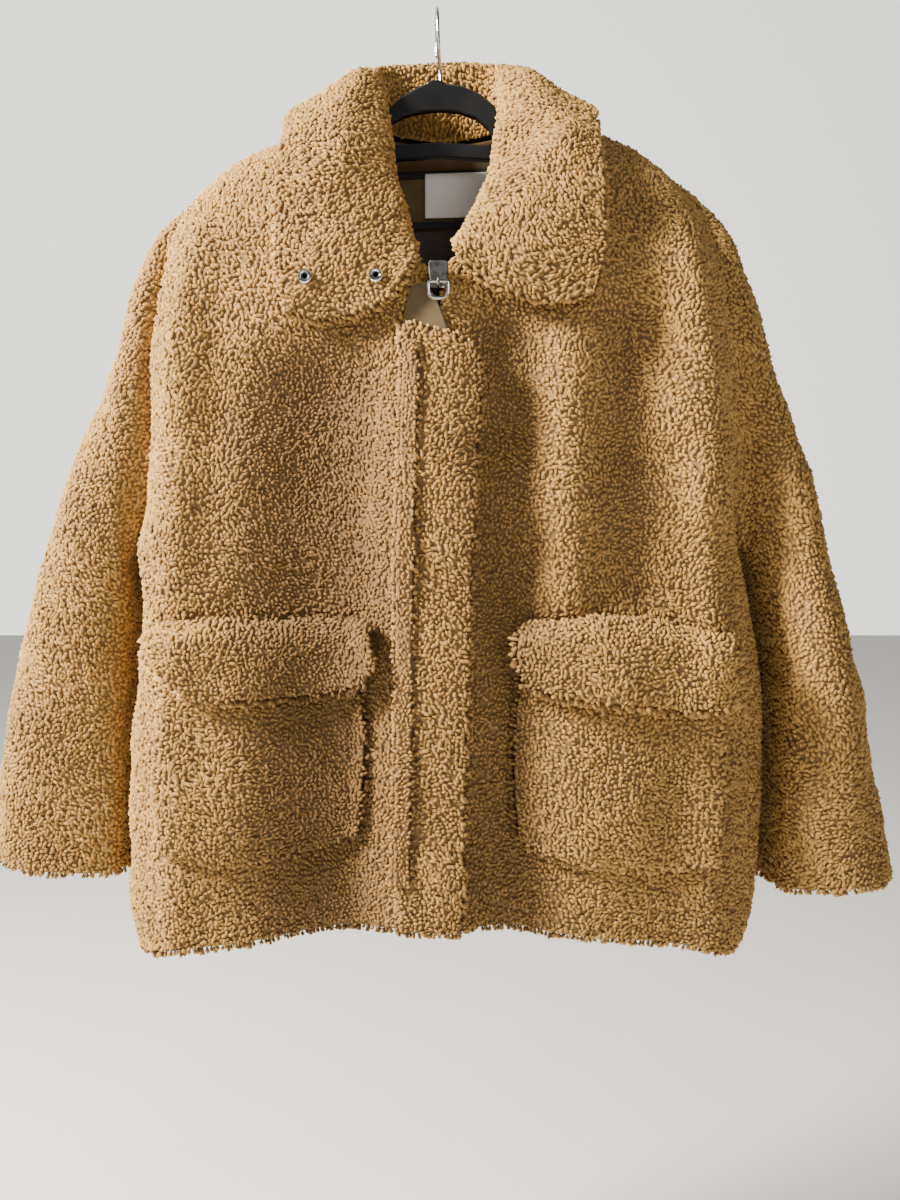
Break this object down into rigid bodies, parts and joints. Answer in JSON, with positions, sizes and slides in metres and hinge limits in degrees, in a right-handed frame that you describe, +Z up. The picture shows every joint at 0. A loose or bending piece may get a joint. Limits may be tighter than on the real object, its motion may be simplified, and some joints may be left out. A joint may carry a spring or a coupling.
{
  "type": "faux fur coat on a clothes hanger",
  "caption": "Hip-length camel faux fur coat with a wide folded collar, zip under a wind flap and flapped patch pockets, hanging on a black plastic clothes hanger.",
  "frame": {"origin": "inner top of the hanger's hook, where it rests on a rail or a door's top edge", "axes": "+Z up, -Y out of the coat's front, +X to the right as the coat is seen from the front"},
  "size_m": [0.889, 0.2025, 0.8912],
  "materials": {
    "camel_pile": "curly knitted pile, matt",
    "tan_facing": "smooth, matt",
    "dark_lining": "smooth woven, slight sheen",
    "black_tape": "woven, matt",
    "white_label": "woven, bare",
    "polished_metal": "polished",
    "dark_metal": "dark plated",
    "black_plastic": "semi-gloss",
    "steel_wire": "bright"
  },
  "bodies": {
    "coat": {"front_right": "camel_pile", "front_left": "camel_pile", "back": "camel_pile", "sleeve_right": "camel_pile", "sleeve_left": "camel_pile", "collar": "camel_pile", "placket": "camel_pile", "placket_ridge": "camel_pile", "pocket_right": "camel_pile", "pocket_flap_right": "camel_pile", "pocket_left": "camel_pile", "pocket_flap_left": "camel_pile", "placket_facing": "tan_facing", "neck_facing": "tan_facing", "lining": "dark_lining", "tape_upper": "black_tape", "tape_lower": "black_tape", "zip_tape_right": "black_tape", "zip_tape_left": "black_tape", "neck_label": "white_label", "zip_chain": "dark_metal", "zip_slider": "dark_metal", "snap_outer": "polished_metal", "snap_inner": "polished_metal", "hanger_body": "black_plastic", "hanger_hook": "steel_wire"},
    "zip_pull": {"zip_pull": "polished_metal"}
  },
  "joints": [
    {"name": "zip_pull_swing", "type": "hinge", "parent": "coat", "child": "zip_pull", "pos_m": [0.003, -0.1124, -0.2805], "axis": [-1, 0, 0], "range_deg": [0, 150]}
  ]
}
